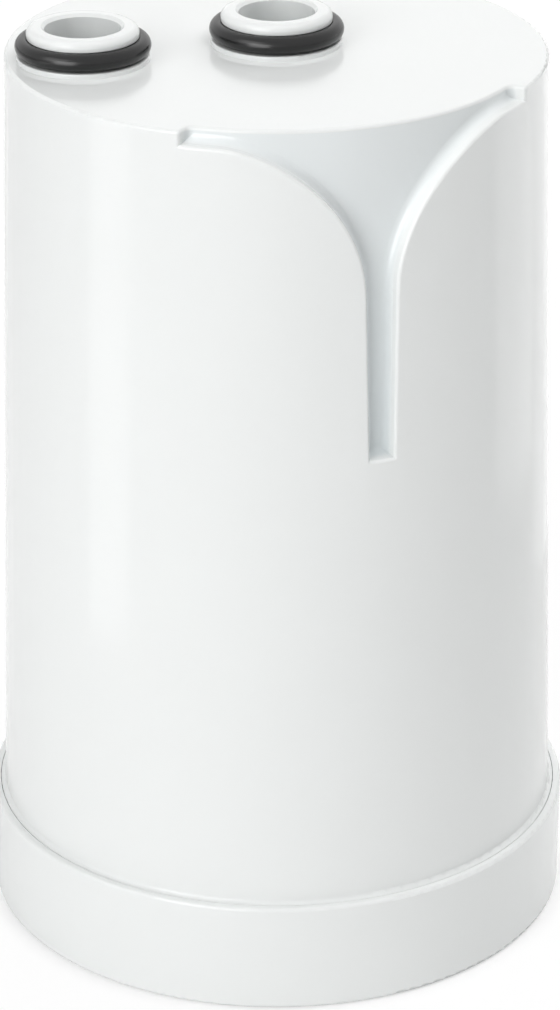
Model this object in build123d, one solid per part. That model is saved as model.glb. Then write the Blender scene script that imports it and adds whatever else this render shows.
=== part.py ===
from build123d import *
import math
import os

# Outer form, in millimetres, measured from the face the cartridge stands on
base_radius = 30.0
base_height = 11.5
base_step = 1.3
base_edge_round = 0.35
foot_edge_round = 0.6
body_height = 91.0
body_taper = 2.1
outer_edge_round = 0.3

# Housing wall, top plate, and the flange and skirt that plug into the base cap
wall = 2.8
top_plate = 3.0
cavity_round = 1.5
flange_step = 0.47
flange_cove = 0.38
seat_depth = 1.5
seam_gap = 0.06
skirt_step = 1.1
weld_gap = 0.1
skirt_end_gap = 0.3

# Guide recess in the front of the housing, a stem that opens into two level arms
recess_depth = 1.75
recess_length = 32.75
stem_foot_width = 2.45
stem_head_width = 3.0
flare_drop = 16.2
arm_drop = 1.34
arm_level_angle = 34.1
arm_end_angle = 41.2
recess_floor_round = 0.8
recess_overrun = 1.0

# Ports on the top plate, the outlet near the axis and the inlet beside the rim
outlet_offset = 2.0
outlet_bearing = 68.4
inlet_rim_gap = 1.06
inlet_bearing = 168.85
bore_radius = 3.75
port_height = 3.35
flange_radius = 6.5
flange_height = 0.5
flange_round = 0.15
nose_radius = 5.5
nose_round = 0.7
bore_round = 0.3
port_ring_radius = 5.74
port_ring_section = 1.78
ring_gap = 0.03

# Socket under the outlet port and the element's spigot that seals in it
socket_radius = 6.6
socket_wall = 1.8
socket_length = 8.0
spigot_gap = 0.1
spigot_end_gap = 0.5
spigot_ring_section = 1.8
spigot_ring_drop = 2.6
inlet_chamber = 9.5

# Base cap floor, its foot, the moulding gate under it and the ribs that carry the element
foot_lift = 0.6
foot_width = 3.2
cap_floor = 2.5
gate_radius = 3.0
gate_depth = 0.5
gate_nub_radius = 0.9
gate_nub_height = 0.3
rib_height = 4.5
rib_thickness = 1.6
rib_count = 6
rib_inset = 2.0
stub_radius = 4.0
collar_wall = 1.3
collar_height = 3.0
locating_gap = 0.2

# Filter element, from the end cap trays inwards
flow_gap = 1.4
end_plate = 2.0
tray_wall = 1.0
tray_lip = 3.0
adhesive = 0.8
media_gap = 0.1
pleat_count = 44
pleat_depth = 3.6
media_thickness = 0.5
core_bore = 7.1
core_wall = 1.2
slot_rows = 5
slots_around = 6
slot_width = 3.0
slot_bridge = 3.0
strainer_thickness = 1.6
strainer_hole_radius = 0.7
strainer_rim = 1.0
strainer_inner_count = 6
strainer_outer_count = 12

# Radii of the housing's outer wall at its foot and its top
body_foot_radius = base_radius - base_step
body_head_radius = body_foot_radius - body_taper


def body_radius(height):
    draft = body_taper / (body_height - base_height)
    return body_head_radius + draft * (body_height - height)


# Heights of the stack inside the housing
seat_height = base_height - seat_depth
floor_top = foot_lift + cap_floor
lower_plate_under = floor_top + rib_height
lower_plate_top = lower_plate_under + end_plate
plate_under = body_height - top_plate
upper_plate_top = plate_under - inlet_chamber
upper_plate_under = upper_plate_top - end_plate
media_low = lower_plate_top + adhesive
media_high = upper_plate_under - adhesive
strainer_under = upper_plate_under - strainer_thickness

# Radii of the stack inside the housing
foot_flange_radius = body_foot_radius + flange_step
skirt_radius = body_foot_radius - skirt_step
skirt_end = floor_top + skirt_end_gap
tray_radius = body_radius(plate_under) - wall - flow_gap
media_radius = tray_radius - tray_wall - media_gap
pleat_half_angle = math.pi / pleat_count
pleat_slope = math.atan(media_radius * pleat_half_angle / pleat_depth)
pleat_shift = media_thickness / math.sin(pleat_slope)
block_radius = media_radius - pleat_depth - pleat_shift - media_gap
core_radius = core_bore + core_wall
block_bore = core_radius + media_gap
bed_radius = core_bore - media_gap
spigot_radius = socket_radius - spigot_gap
spigot_top = plate_under - spigot_end_gap
spigot_ring_radius = socket_radius - ring_gap - spigot_ring_section / 2
spigot_ring_height = spigot_top - spigot_ring_drop
port_ring_height = body_height + flange_height + ring_gap + port_ring_section / 2
inlet_offset = body_head_radius - flange_radius - inlet_rim_gap
inlet_place = Vector(inlet_offset, 0, 0).rotate(Axis.Z, inlet_bearing)
outlet_place = Vector(outlet_offset, 0, 0).rotate(Axis.Z, outlet_bearing)


def turned(*corners):
    """Solid of revolution about Z through (radius, height) corners."""
    return revolve(Plane.XZ * make_face(Polyline(*corners, close=True)), Axis.Z)


def tube(inner, outer, low, high):
    return turned((inner, low), (outer, low), (outer, high), (inner, high))


def plug(radius, low, high):
    return turned((0, low), (radius, low), (radius, high), (0, high))


def edges_at(shape, radius, height):
    """Circular edges about Z with this radius at this height."""
    circles = shape.edges().filter_by(GeomType.CIRCLE)
    return [
        edge
        for edge in circles
        if abs(edge.radius - radius) < 1e-4 and abs(edge.arc_center.Z - height) < 1e-4
    ]


def o_ring(place, height, mean_radius, section):
    ring = revolve(Plane.XZ * Pos(mean_radius, height) * Circle(section / 2), Axis.Z)
    return Pos(place) * ring


def guide_outline(reach):
    """Recess outline on an upright plane this far in front of the axis, for walls that run radially."""
    foot_height = body_height - recess_length
    flare_height = body_height - flare_drop
    arm_height = body_height - arm_drop
    foot_half = stem_foot_width / 2 * reach / body_head_radius
    head_half = stem_head_width / 2 * reach / body_head_radius
    level_half = reach * math.tan(math.radians(arm_level_angle))
    end_half = reach * math.tan(math.radians(arm_end_angle))
    above = body_height + recess_overrun
    flare = EllipticalCenterArc(
        (level_half, flare_height),
        level_half - head_half,
        arm_height - flare_height,
        start_angle=90,
        arc_size=90,
    )
    half = [
        Line((foot_half, foot_height), (head_half, flare_height)),
        flare,
        Line((level_half, arm_height), (end_half, arm_height)),
        Line((end_half, arm_height), (end_half, above)),
    ]
    ends = [
        Line((-foot_half, foot_height), (foot_half, foot_height)),
        Line((-end_half, above), (end_half, above)),
    ]
    outline = make_face(half + [mirror(line, Plane.YZ) for line in half] + ends)
    return Plane(origin=(0, -reach, 0), x_dir=(1, 0, 0), z_dir=(0, -1, 0)) * outline


def guide_cutter():
    """What the recess takes out of the housing, down to a floor that follows the drafted wall."""
    near = body_head_radius / 2
    far = max(body_foot_radius, body_head_radius) + recess_overrun
    wedge = loft([guide_outline(near), guide_outline(far)], ruled=True)
    top = body_height + 2 * recess_overrun
    core = turned(
        (0, base_height),
        (body_radius(base_height) - recess_depth, base_height),
        (body_radius(top) - recess_depth, top),
        (0, top),
    )
    cutter = wedge - core
    floor_edges = [edge for edge in cutter.edges() if on_recess_floor(edge)]
    return fillet(floor_edges, recess_floor_round)


def on_recess_floor(edge):
    """True for the edges between the recess floor and its walls, below the open top."""
    middle = edge @ 0.5
    floor = body_radius(middle.Z) - recess_depth
    reach = math.hypot(middle.X, middle.Y)
    return abs(reach - floor) < 0.02 and middle.Z < body_height + recess_overrun / 2


def on_outer_edge(edge):
    """True for the edges of the top face and for the outline of the recess on the outer wall."""
    middle = edge @ 0.5
    reach = math.hypot(middle.X, middle.Y)
    lowest = body_height - recess_length - outer_edge_round
    on_wall = abs(reach - body_radius(middle.Z)) < 0.02 and middle.Z > lowest
    return on_wall or abs(middle.Z - body_height) < 0.02


def port(place):
    """Flanged port with its seal groove and rounded nose, rooted in the top plate."""
    root = body_height - top_plate / 2
    groove_low = body_height + flange_height
    groove_high = groove_low + port_ring_section + 2 * ring_gap
    groove_radius = port_ring_radius - port_ring_section / 2 - ring_gap
    top = body_height + port_height
    boss = turned(
        (0, root),
        (flange_radius, root),
        (flange_radius, groove_low),
        (groove_radius, groove_low),
        (groove_radius, groove_high),
        (nose_radius, groove_high),
        (nose_radius, top),
        (0, top),
    )
    boss = fillet(edges_at(boss, flange_radius, groove_low), flange_round)
    boss = fillet(edges_at(boss, nose_radius, top), nose_round)
    return Pos(place) * boss


def bore(place):
    """Waterway through one port and the top plate, with a rounded mouth."""
    top = body_height + port_height
    way = turned(
        (0, plate_under),
        (bore_radius, plate_under),
        (bore_radius, top - bore_round),
        (bore_radius + bore_round, top),
        (0, top),
    )
    return Pos(place) * way


def housing():
    body = turned(
        (0, seat_height),
        (foot_flange_radius, seat_height),
        (foot_flange_radius, base_height),
        (body_foot_radius, base_height),
        (body_head_radius, body_height),
        (0, body_height),
    )
    body = fillet(edges_at(body, body_foot_radius, base_height), flange_cove)
    body -= guide_cutter()
    body = fillet([edge for edge in body.edges() if on_outer_edge(edge)], outer_edge_round)
    skirt = tube(body_radius(skirt_end) - wall, skirt_radius, skirt_end, seat_height)
    cavity = turned(
        (0, skirt_end),
        (body_radius(skirt_end) - wall, skirt_end),
        (body_radius(plate_under) - wall, plate_under),
        (0, plate_under),
    )
    cavity = fillet(edges_at(cavity, body_radius(plate_under) - wall, plate_under), cavity_round)
    socket = tube(socket_radius, socket_radius + socket_wall, plate_under - socket_length, plate_under)
    shell = body + skirt - cavity + socket
    for place in (outlet_place, inlet_place):
        shell += port(place)
        shell -= bore(place)
    return shell


def base_cap():
    inner = skirt_radius + weld_gap
    mouth = foot_flange_radius + seam_gap
    foot_inner = base_radius - foot_width
    cap = turned(
        (0, foot_lift),
        (foot_inner, foot_lift),
        (foot_inner, 0),
        (base_radius, 0),
        (base_radius, base_height),
        (mouth, base_height),
        (mouth, seat_height),
        (inner, seat_height),
        (inner, floor_top),
        (0, floor_top),
    )
    cap = fillet(edges_at(cap, base_radius, 0), foot_edge_round)
    cap = fillet(edges_at(cap, base_radius, base_height), base_edge_round)
    cap -= plug(gate_radius, foot_lift, foot_lift + gate_depth)
    cap += plug(gate_nub_radius, foot_lift + gate_depth - gate_nub_height, foot_lift + gate_depth)
    rib_start = stub_radius + locating_gap + collar_wall + locating_gap
    rib_end = tray_radius - rib_inset
    rib = Box(
        rib_end - rib_start,
        rib_thickness,
        rib_height,
        align=(Align.MIN, Align.CENTER, Align.MIN),
    )
    for turn in range(rib_count):
        cap += Rot(0, 0, 360 / rib_count * turn) * Pos(rib_start, 0, floor_top) * rib
    return cap + plug(stub_radius, floor_top, lower_plate_under - locating_gap)


def top_end_cap():
    """Tray over the element with the spigot that seals in the housing's socket."""
    lip_end = upper_plate_under - tray_lip
    groove_radius = spigot_ring_radius - spigot_ring_section / 2 - ring_gap
    groove_half = spigot_ring_section / 2 + ring_gap
    cap = turned(
        (bore_radius, upper_plate_under),
        (media_radius + media_gap, upper_plate_under),
        (media_radius + media_gap, lip_end),
        (tray_radius, lip_end),
        (tray_radius, upper_plate_top),
        (spigot_radius, upper_plate_top),
        (spigot_radius, spigot_ring_height - groove_half),
        (groove_radius, spigot_ring_height - groove_half),
        (groove_radius, spigot_ring_height + groove_half),
        (spigot_radius, spigot_ring_height + groove_half),
        (spigot_radius, spigot_top),
        (bore_radius, spigot_top),
    )
    return fillet(edges_at(cap, tray_radius, upper_plate_top), tray_wall / 2)


def bottom_end_cap():
    """Closed tray under the element, with a collar that drops over the base cap's stub."""
    lip_end = lower_plate_top + tray_lip
    cap = turned(
        (0, lower_plate_under),
        (tray_radius, lower_plate_under),
        (tray_radius, lip_end),
        (media_radius + media_gap, lip_end),
        (media_radius + media_gap, lower_plate_top),
        (0, lower_plate_top),
    )
    cap = fillet(edges_at(cap, tray_radius, lower_plate_under), tray_wall / 2)
    collar_bore = stub_radius + locating_gap
    collar_end = lower_plate_under - collar_height
    return cap + tube(collar_bore, collar_bore + collar_wall, collar_end, lower_plate_under)


def pleated_prefilter():
    """Media folded into a closed ring of pleats."""
    crest = [(media_radius, media_radius - pleat_depth)[step % 2] for step in range(2 * pleat_count)]
    outside = [Vector(r, 0).rotate(Axis.Z, 180 / pleat_count * i) for i, r in enumerate(crest)]
    inside = [Vector(r - pleat_shift, 0).rotate(Axis.Z, 180 / pleat_count * i) for i, r in enumerate(crest)]
    ring = make_face(Polyline(*outside, close=True)) - make_face(Polyline(*inside, close=True))
    return Pos(0, 0, media_low) * extrude(ring, media_high - media_low)


def core_tube():
    """Slotted tube that holds the mineral bed inside the carbon block."""
    core = tube(core_bore, core_radius, lower_plate_top, upper_plate_under)
    pitch = (media_high - media_low) / slot_rows
    slot = Box(3 * core_wall, slot_width, pitch - slot_bridge)
    step = 360 / slots_around
    for row in range(slot_rows):
        height = media_low + pitch * (row + 0.5)
        for place in PolarLocations(core_radius - core_wall / 2, slots_around, step / 2 * (row % 2)):
            core -= Pos(0, 0, height) * place * slot
    return core


def core_strainer():
    """Drilled disc in the top of the core tube, under the outlet spigot."""
    disc = plug(bed_radius, strainer_under, upper_plate_under)
    hole = plug(strainer_hole_radius, strainer_under, upper_plate_under)
    disc -= hole
    outer_ring = bed_radius - strainer_rim - strainer_hole_radius
    for ring, count in ((outer_ring / 2, strainer_inner_count), (outer_ring, strainer_outer_count)):
        for place in PolarLocations(ring, count):
            disc -= place * hole
    return disc


parts = {
    "housing": housing(),
    "base_cap": base_cap(),
    "inlet_o_ring": o_ring(inlet_place, port_ring_height, port_ring_radius, port_ring_section),
    "outlet_o_ring": o_ring(outlet_place, port_ring_height, port_ring_radius, port_ring_section),
    "top_end_cap": top_end_cap(),
    "spigot_o_ring": o_ring(Vector(0, 0, 0), spigot_ring_height, spigot_ring_radius, spigot_ring_section),
    "top_adhesive": tube(block_bore, media_radius, media_high, upper_plate_under),
    "pleated_prefilter": pleated_prefilter(),
    "carbon_block": tube(block_bore, block_radius, media_low, media_high),
    "core_tube": core_tube(),
    "core_strainer": core_strainer(),
    "mineral_bed": plug(bed_radius, lower_plate_top, strainer_under),
    "bottom_adhesive": tube(block_bore, media_radius, lower_plate_top, media_low),
    "bottom_end_cap": bottom_end_cap(),
}

os.makedirs("parts", exist_ok=True)
for name, solid in parts.items():
    export_step(solid, f"parts/{name}.step")
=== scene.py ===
import math
import random

import bpy
import bmesh
from mathutils import Euler, Matrix, Vector


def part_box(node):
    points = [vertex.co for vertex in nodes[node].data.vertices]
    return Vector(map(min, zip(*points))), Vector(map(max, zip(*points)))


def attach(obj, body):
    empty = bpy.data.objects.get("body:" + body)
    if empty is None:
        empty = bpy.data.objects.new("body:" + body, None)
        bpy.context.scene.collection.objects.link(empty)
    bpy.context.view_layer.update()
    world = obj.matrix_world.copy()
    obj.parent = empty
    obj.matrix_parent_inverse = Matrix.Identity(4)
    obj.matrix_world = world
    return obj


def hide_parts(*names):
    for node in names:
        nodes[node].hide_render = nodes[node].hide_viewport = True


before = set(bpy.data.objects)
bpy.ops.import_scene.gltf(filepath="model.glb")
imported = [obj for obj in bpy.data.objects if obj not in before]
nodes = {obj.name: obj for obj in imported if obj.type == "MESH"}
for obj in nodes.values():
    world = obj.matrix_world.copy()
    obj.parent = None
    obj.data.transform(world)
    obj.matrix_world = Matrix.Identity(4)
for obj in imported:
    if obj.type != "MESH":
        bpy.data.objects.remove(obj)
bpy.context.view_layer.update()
mm = 0.001
print("frame loaded:", len(nodes), "nodes")


# camera, fitted to the outline of the foot, the body and the rim
cameraSetup = {
    "azimuth": -21.55,         # degrees, the recess faces -Y
    "elevation": 24.487,
    "distance": 400.63 * mm,
    "aimSide": 0.33 * mm,      # aim point, to the right of the axis as seen
    "aimHeight": 41.94 * mm,
    "focalPixels": 3893.3,
    "longSide": 1010,          # pixels of the picture's long side
    "sensor": 36.0,
    "clipStart": 10 * mm,
}


def sideways(azimuth):
    turn = math.radians(azimuth)
    return Vector((math.cos(turn), math.sin(turn), 0))


def towards(azimuth, elevation):
    turn, rise = math.radians(azimuth), math.radians(elevation)
    level = math.cos(rise)
    return Vector((math.sin(turn) * level, -math.cos(turn) * level, math.sin(rise)))


def makeCamera(setup):
    data = bpy.data.cameras.new("photoCamera")
    data.sensor_width = setup["sensor"]
    data.lens = setup["sensor"] * setup["focalPixels"] / setup["longSide"]
    data.clip_start = setup["clipStart"]
    camera = bpy.data.objects.new("photoCamera", data)
    aim = sideways(setup["azimuth"]) * setup["aimSide"] + Vector((0, 0, setup["aimHeight"]))
    back = towards(setup["azimuth"], setup["elevation"])
    camera.location = aim + back * setup["distance"]
    camera.rotation_euler = back.to_track_quat("Z", "Y").to_euler()
    bpy.context.scene.collection.objects.link(camera)
    bpy.context.scene.camera = camera


makeCamera(cameraSetup)
print("camera placed")


# light: a white surround, soft panels round the object, and small cards that only show in its gloss
surround = {"strength": 0.0, "backdrop": 1.0}
panel = {"distance": 0.80, "size": (0.50, 0.50), "in": "matt"}
lamps = {
    "frontLow": {**panel, "azimuth": -51.5, "elevation": 12, "power": 3.06, "in": "both"},
    "frontHigh": {**panel, "azimuth": -51.5, "elevation": 65, "power": 0.5},
    "leftPanel": {**panel, "azimuth": -71.5, "elevation": 35, "power": 1.3, "in": "both"},
    "topPanel": {**panel, "azimuth": -20.0, "elevation": 88, "power": 1.7},
    "rightHigh": {**panel, "azimuth": 38.5, "elevation": 65, "power": 2.0},
    "rightLow": {**panel, "azimuth": 88.5, "elevation": 20, "power": 0.8},
    "rightBack": {**panel, "azimuth": 108.5, "elevation": 35, "power": 1.5},
    "backLow": {**panel, "azimuth": 158.5, "elevation": 19.5, "power": 2.55, "size": (0.50, 0.12)},
    "leftBack": {**panel, "azimuth": -171.5, "elevation": 35, "power": 0.6},
    "leftStrip": {"distance": 0.110, "size": (0.035, 0.084), "in": "gloss",
                  "azimuth": -86.3, "elevation": -4, "power": 0.0078},
    "rightCard": {"distance": 0.135, "size": (0.07, 0.1), "in": "gloss",
                  "azimuth": 88.7, "elevation": 0, "power": 0.0108},
    "backCard": {"distance": 0.085, "size": (0.06, 0.09), "in": "gloss",
                 "azimuth": 118.7, "elevation": 0, "power": 0.0031},
}
lampAim = Vector((0, 0, 0.05))         # the point that every lamp faces
paleFloor = {
    "reach": 3.0,
    "below": 0.02 * mm,                # so that the floor and the foot don't share a plane
    "colour": (0.95, 0.95, 0.95),
    "seenWhite": (0.50, 0.90),         # at the foot and away from it, the rest keeps the shadow
    "fromFoot": (29.8 * mm, 32.0 * mm),
    "glossWhite": 0.15,
}


def mathOf(tree, operation, first, second):
    node = tree.nodes.new("ShaderNodeMath")
    node.operation = operation
    for place, value in enumerate((first, second)):
        if isinstance(value, float):
            node.inputs[place].default_value = value
        else:
            tree.links.new(value, node.inputs[place])
    return node.outputs[0]


def mapOf(tree, value, source=(0.0, 1.0), target=(0.0, 1.0), kind="LINEAR", clamp=True):
    node = tree.nodes.new("ShaderNodeMapRange")
    node.interpolation_type = kind
    node.clamp = clamp
    node.inputs["From Min"].default_value, node.inputs["From Max"].default_value = source
    node.inputs["To Min"].default_value, node.inputs["To Max"].default_value = target
    tree.links.new(value, node.inputs["Value"])
    return node.outputs["Result"]


def lengthOf(tree, vector):
    node = tree.nodes.new("ShaderNodeVectorMath")
    node.operation = "LENGTH"
    tree.links.new(vector, node.inputs[0])
    return node.outputs["Value"]


def seenDirectly(tree):
    # 1 for what the camera, a reflection or a clear surface looks at, 0 for light falling on the object
    path = tree.nodes.new("ShaderNodeLightPath").outputs
    mirrored = mathOf(tree, "MAXIMUM", path["Is Camera Ray"], path["Is Glossy Ray"])
    return mathOf(tree, "MAXIMUM", mirrored, path["Is Transmission Ray"])


def makeSurround(setup):
    world = bpy.data.worlds.new("whiteSurround")
    bpy.context.scene.world = world
    world.use_nodes = True
    tree = world.node_tree
    background = tree.nodes["Background"]
    background.inputs["Color"].default_value = (1, 1, 1, 1)
    level = mapOf(tree, seenDirectly(tree), target=(setup["strength"], setup["backdrop"]))
    tree.links.new(level, background.inputs["Strength"])


def makeLamp(name, setup):
    data = bpy.data.lights.new(name, "AREA")
    data.shape = "RECTANGLE"
    data.size, data.size_y = setup["size"]
    data.energy = setup["power"]
    lamp = bpy.data.objects.new(name, data)
    back = towards(setup["azimuth"], setup["elevation"])
    lamp.location = lampAim + back * setup["distance"]
    lamp.rotation_euler = back.to_track_quat("Z", "Y").to_euler()
    lamp.visible_camera = False
    lamp.visible_diffuse = setup["in"] != "gloss"
    lamp.visible_glossy = setup["in"] != "matt"
    bpy.context.scene.collection.objects.link(lamp)


def makeFloor(setup):
    bm = bmesh.new()
    bmesh.ops.create_grid(bm, x_segments=1, y_segments=1, size=setup["reach"])
    bmesh.ops.translate(bm, verts=bm.verts, vec=(0, 0, -setup["below"]))
    mesh = bpy.data.meshes.new("floor")
    bm.to_mesh(mesh)
    bm.free()
    floor = bpy.data.objects.new("floor", mesh)
    bpy.context.scene.collection.objects.link(floor)
    material = bpy.data.materials.new("paleFloor")
    material.use_nodes = True
    tree = material.node_tree
    tree.nodes.remove(tree.nodes["Principled BSDF"])
    matte = tree.nodes.new("ShaderNodeBsdfDiffuse")
    matte.inputs["Color"].default_value = (*setup["colour"], 1)
    white = tree.nodes.new("ShaderNodeEmission")
    path = tree.nodes.new("ShaderNodeLightPath").outputs
    place = tree.nodes.new("ShaderNodeTexCoord").outputs
    away = lengthOf(tree, place["Object"])
    seen = mapOf(tree, away, setup["fromFoot"], setup["seenWhite"], "SMOOTHSTEP")
    direct = mathOf(tree, "MULTIPLY", seen, path["Is Camera Ray"])
    gloss = mathOf(tree, "MULTIPLY", path["Is Glossy Ray"], setup["glossWhite"])
    mix = tree.nodes.new("ShaderNodeMixShader")
    tree.links.new(mathOf(tree, "MAXIMUM", direct, gloss), mix.inputs["Fac"])
    tree.links.new(matte.outputs[0], mix.inputs[1])
    tree.links.new(white.outputs[0], mix.inputs[2])
    tree.links.new(mix.outputs[0], tree.nodes["Material Output"].inputs["Surface"])
    mesh.materials.append(material)


makeSurround(surround)
for lampName, lampSetup in lamps.items():
    makeLamp(lampName, lampSetup)
makeFloor(paleFloor)
bpy.context.scene.view_settings.view_transform = "Standard"
print("studio set")


# finishes
def newFinish(name):
    material = bpy.data.materials.new(name)
    material.use_nodes = True
    tree = material.node_tree
    return material, tree, tree.nodes["Principled BSDF"]


def placeOn(tree, stretch=(1, 1, 1)):
    place = tree.nodes.new("ShaderNodeTexCoord")
    mapping = tree.nodes.new("ShaderNodeMapping")
    mapping.inputs["Scale"].default_value = stretch
    tree.links.new(place.outputs["Object"], mapping.inputs["Vector"])
    return mapping.outputs["Vector"]


def noiseOn(tree, scale, detail=3.0, roughness=0.5, stretch=(1, 1, 1)):
    noise = tree.nodes.new("ShaderNodeTexNoise")
    noise.inputs["Scale"].default_value = scale
    noise.inputs["Detail"].default_value = detail
    noise.inputs["Roughness"].default_value = roughness
    tree.links.new(placeOn(tree, stretch), noise.inputs["Vector"])
    return noise.outputs["Fac"]


def cellsOn(tree, scale):
    # a shade for each cell, and the rise from its edge to its middle
    cells = tree.nodes.new("ShaderNodeTexVoronoi")
    cells.inputs["Scale"].default_value = scale
    tree.links.new(placeOn(tree), cells.inputs["Vector"])
    return cells.outputs["Color"], mapOf(tree, cells.outputs["Distance"], target=(1.0, 0.0))


def blendOf(tree, value, first, second):
    mix = tree.nodes.new("ShaderNodeMix")
    mix.data_type = "RGBA"
    for socket, colour in (("A", first), ("B", second)):
        if isinstance(colour, tuple):
            mix.inputs[socket].default_value = (*colour, 1)
        else:
            tree.links.new(colour, mix.inputs[socket])
    tree.links.new(value, mix.inputs["Factor"])
    return mix.outputs["Result"]


def bumpFrom(tree, height, distance):
    bump = tree.nodes.new("ShaderNodeBump")
    bump.inputs["Distance"].default_value = distance
    bump.inputs["Strength"].default_value = 1.0
    tree.links.new(height, bump.inputs["Height"])
    return bump.outputs["Normal"]


def dress(tree, shader, colour, roughness, normal):
    tree.links.new(colour, shader.inputs["Base Color"])
    tree.links.new(roughness, shader.inputs["Roughness"])
    tree.links.new(normal, shader.inputs["Normal"])


glossyWhite = {
    "light": (0.826, 0.842, 0.836),
    "dark": (0.814, 0.830, 0.824),
    "cloudScale": 60.0,
    "recess": (0.752, 0.798, 0.812),   # painted shade: the floor of the guide recess is coloured a little darker and cooler, for the shade that falls in it
    "recessDepth": (0.7 * mm, 1.6 * mm),
    "recessHeights": (56.0 * mm, 90.7 * mm),
    "recessTone": (1.0, 0.55),         # share of the painted shade colour in the stem and at the rim
    "wallHeights": (11.5 * mm, 91.0 * mm),
    "wallRadii": (28.7 * mm, 26.6 * mm),
    "roughness": (0.09, 0.13),
    "roughScale": 240.0,
    "ripple": 0.002 * mm,              # the faint unevenness of a moulded face
    "rippleScale": 900.0,
    "ior": 1.49,
}


def recessTone(tree, setup):
    # painted shade: 0 on the drafted wall, up to 1 on the floor of the recess
    place = tree.nodes.new("ShaderNodeSeparateXYZ")
    tree.links.new(placeOn(tree), place.inputs[0])
    height = place.outputs["Z"]
    flat = tree.nodes.new("ShaderNodeCombineXYZ")
    for axis in "XY":
        tree.links.new(place.outputs[axis], flat.inputs[axis])
    wall = mapOf(tree, height, setup["wallHeights"], setup["wallRadii"], clamp=False)
    depth = mathOf(tree, "SUBTRACT", wall, lengthOf(tree, flat.outputs[0]))
    deepShade = mapOf(tree, depth, setup["recessDepth"], kind="SMOOTHSTEP")
    level = mapOf(tree, height, setup["recessHeights"], setup["recessTone"])
    above = mathOf(tree, "GREATER_THAN", height, setup["recessHeights"][0])
    below = mathOf(tree, "LESS_THAN", height, setup["recessHeights"][1])
    inside = mathOf(tree, "MULTIPLY", above, below)
    return mathOf(tree, "MULTIPLY", mathOf(tree, "MULTIPLY", deepShade, level), inside)


def makeGlossyWhite(setup):
    material, tree, shader = newFinish("glossyWhite")
    cloud = blendOf(tree, noiseOn(tree, setup["cloudScale"]), setup["dark"], setup["light"])
    # painted shade: the recess floor's colour is blended towards a darker, cooler one
    dress(tree, shader,
          blendOf(tree, recessTone(tree, setup), cloud, setup["recess"]),
          mapOf(tree, noiseOn(tree, setup["roughScale"]), target=setup["roughness"]),
          bumpFrom(tree, noiseOn(tree, setup["rippleScale"]), setup["ripple"]))
    shader.inputs["IOR"].default_value = setup["ior"]
    return material


sealBlack = {
    "light": (0.008, 0.0083, 0.0083),
    "dark": (0.005, 0.005, 0.0052),
    "cloudScale": 700.0,
    "roughness": (0.21, 0.28),
    "grain": 0.002 * mm,
    "grainScale": 4000.0,
    "ior": 1.5,
    "specular": 0.45,
}


def makeSealBlack(setup):
    material, tree, shader = newFinish("sealBlack")
    cloud = noiseOn(tree, setup["cloudScale"])
    dress(tree, shader,
          blendOf(tree, cloud, setup["dark"], setup["light"]),
          mapOf(tree, cloud, target=setup["roughness"]),
          bumpFrom(tree, noiseOn(tree, setup["grainScale"]), setup["grain"]))
    shader.inputs["IOR"].default_value = setup["ior"]
    shader.inputs["Specular IOR Level"].default_value = setup["specular"]
    return material


# natural polypropylene of the end trays, the core tube and the strainer
elementPlastic = {
    "light": (0.80, 0.82, 0.81),
    "dark": (0.735, 0.76, 0.755),
    "cloudScale": 180.0,
    "roughness": (0.34, 0.48),
    "roughScale": 600.0,
    "ripple": 0.010 * mm,
    "rippleScale": 1500.0,
    "ior": 1.49,
}


def makeElementPlastic(setup):
    material, tree, shader = newFinish("elementPlastic")
    dress(tree, shader,
          blendOf(tree, noiseOn(tree, setup["cloudScale"]), setup["dark"], setup["light"]),
          mapOf(tree, noiseOn(tree, setup["roughScale"]), target=setup["roughness"]),
          bumpFrom(tree, noiseOn(tree, setup["rippleScale"]), setup["ripple"]))
    shader.inputs["IOR"].default_value = setup["ior"]
    return material


# hot-melt bead that seals the media into the trays
pottingBead = {
    "light": (0.84, 0.80, 0.68),
    "dark": (0.72, 0.66, 0.52),
    "cloudScale": 260.0,
    "cloudDetail": 2.0,
    "roughness": (0.22, 0.42),
    "ripple": 0.12 * mm,
    "ior": 1.48,
}


def makePotting(setup):
    material, tree, shader = newFinish("pottingBead")
    cloud = noiseOn(tree, setup["cloudScale"], setup["cloudDetail"])
    dress(tree, shader,
          blendOf(tree, cloud, setup["dark"], setup["light"]),
          mapOf(tree, cloud, target=setup["roughness"]),
          bumpFrom(tree, cloud, setup["ripple"]))
    shader.inputs["IOR"].default_value = setup["ior"]
    return material


# spun fibres, laid mostly along the folds
pleatedMedia = {
    "light": (0.87, 0.88, 0.87),
    "dark": (0.70, 0.72, 0.72),
    "fibre": 0.06 * mm,
    "fibreNoise": (4200.0, 4.0, 0.6),  # scale, detail and roughness
    "stretch": (1.0, 1.0, 0.12),
    "roughness": (0.80, 0.95),
    "roughScale": 900.0,
    "sheen": 0.15,
}


def makePleatedMedia(setup):
    material, tree, shader = newFinish("pleatedMedia")
    fibre = noiseOn(tree, *setup["fibreNoise"], setup["stretch"])
    dress(tree, shader,
          blendOf(tree, fibre, setup["dark"], setup["light"]),
          mapOf(tree, noiseOn(tree, setup["roughScale"]), target=setup["roughness"]),
          bumpFrom(tree, fibre, setup["fibre"]))
    shader.inputs["Sheen Weight"].default_value = setup["sheen"]
    return material


# carbon grains pressed into a block
pressedCarbon = {
    "grainScale": 1700.0,      # cells of about half a millimetre
    "light": (0.050, 0.050, 0.052),
    "dark": (0.010, 0.010, 0.011),
    "roughness": (0.45, 0.85),
    "grain": 0.10 * mm,
}


def makePressedCarbon(setup):
    material, tree, shader = newFinish("pressedCarbon")
    cell, edge = cellsOn(tree, setup["grainScale"])
    dress(tree, shader,
          blendOf(tree, cell, setup["dark"], setup["light"]),
          mapOf(tree, cell, target=setup["roughness"]),
          bumpFrom(tree, edge, setup["grain"]))
    return material


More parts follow.
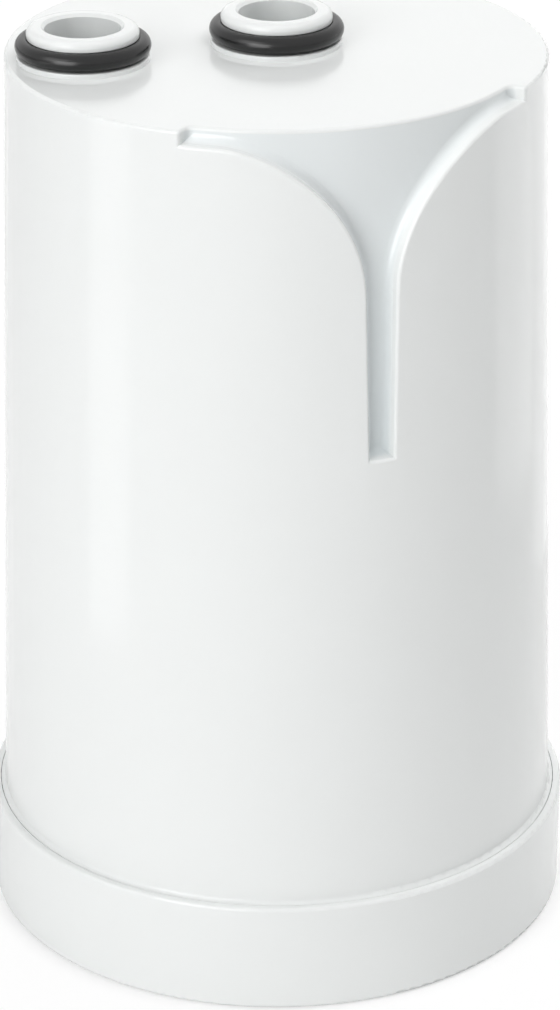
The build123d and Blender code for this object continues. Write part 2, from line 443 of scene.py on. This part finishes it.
# the crushed granules in the core, in three shades
granuleStone = {
    "paleStone": ((0.78, 0.75, 0.69), (0.66, 0.62, 0.55)),
    "tanStone": ((0.60, 0.50, 0.38), (0.46, 0.37, 0.27)),
    "greyStone": ((0.46, 0.46, 0.45), (0.32, 0.32, 0.32)),
}
stoneFace = {
    "speckNoise": (2600.0, 5.0, 0.65),     # scale, detail and roughness
    "roughness": (0.55, 0.85),
    "pits": 0.05 * mm,
}


def makeGranuleStone(name, shades, setup):
    material, tree, shader = newFinish(name)
    speck = noiseOn(tree, *setup["speckNoise"])
    dress(tree, shader,
          blendOf(tree, speck, shades[1], shades[0]),
          mapOf(tree, speck, target=setup["roughness"]),
          bumpFrom(tree, speck, setup["pits"]))
    return material


finishes = {
    "glossyWhite": makeGlossyWhite(glossyWhite),
    "sealBlack": makeSealBlack(sealBlack),
    "elementPlastic": makeElementPlastic(elementPlastic),
    "pottingBead": makePotting(pottingBead),
    "pleatedMedia": makePleatedMedia(pleatedMedia),
    "pressedCarbon": makePressedCarbon(pressedCarbon),
}
for stoneName, stoneShades in granuleStone.items():
    finishes[stoneName] = makeGranuleStone(stoneName, stoneShades, stoneFace)
finishOf = {
    "housing": "glossyWhite",
    "base_cap": "glossyWhite",
    "inlet_o_ring": "sealBlack",
    "outlet_o_ring": "sealBlack",
    "spigot_o_ring": "sealBlack",
    "top_end_cap": "elementPlastic",
    "bottom_end_cap": "elementPlastic",
    "core_tube": "elementPlastic",
    "core_strainer": "elementPlastic",
    "top_adhesive": "pottingBead",
    "bottom_adhesive": "pottingBead",
    "pleated_prefilter": "pleatedMedia",
    "carbon_block": "pressedCarbon",
    "mineral_bed": "paleStone",
}
for nodeName, node in nodes.items():
    for slot in node.material_slots:
        slot.material = finishes[finishOf[nodeName]]
print("finishes assigned")


# granules in the core tube: layers of crushed stones, each layer turned on the last
granules = {
    "rings": ((0.0, 1), (1.95 * mm, 6), (3.9 * mm, 12), (5.8 * mm, 18)),   # radius and count in a layer
    "layerStep": 1.62 * mm,
    "size": (0.86 * mm, 1.04 * mm),
    "squash": (0.72, 1.0),
    "jitter": 0.14 * mm,
    "shadeShares": (5, 3, 2),
    "seed": 11,
}


def makeGranules(setup):
    low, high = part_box("mineral_bed")
    dice = random.Random(setup["seed"])
    biggest = setup["size"][1]
    layers = int((high[2] - low[2] - 2 * biggest) / setup["layerStep"]) + 1
    start = (low[2] + high[2] - (layers - 1) * setup["layerStep"]) / 2
    bm = bmesh.new()
    for layer in range(layers):
        turn = dice.uniform(0, math.tau)
        for ringRadius, count in setup["rings"]:
            for step in range(count):
                bearing = turn + math.tau * step / count
                shift = [dice.uniform(-1, 1) * setup["jitter"] for side in range(2)]
                place = Matrix.Translation((ringRadius * math.cos(bearing) + shift[0],
                                            ringRadius * math.sin(bearing) + shift[1],
                                            start + layer * setup["layerStep"]))
                spun = Euler([dice.uniform(0, math.tau) for side in range(3)]).to_matrix().to_4x4()
                size = dice.uniform(*setup["size"])
                cut = Matrix.Diagonal([size * dice.uniform(*setup["squash"]) for side in range(3)] + [1])
                stone = bmesh.ops.create_icosphere(bm, subdivisions=1, radius=1.0,
                                                   matrix=place @ spun @ cut)
                shade = dice.choices(range(len(granuleStone)), weights=setup["shadeShares"])[0]
                for face in {face for vert in stone["verts"] for face in vert.link_faces}:
                    face.material_index = shade
    mesh = bpy.data.meshes.new("mineralGranules")
    bm.to_mesh(mesh)
    bm.free()
    for stoneName in granuleStone:
        mesh.materials.append(finishes[stoneName])
    piece = bpy.data.objects.new("mineralGranules", mesh)
    bpy.context.scene.collection.objects.link(piece)
    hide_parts("mineral_bed")
    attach(piece, "root")
    print("granules laid:", layers, "layers,", len(mesh.polygons), "faces")


makeGranules(granules)
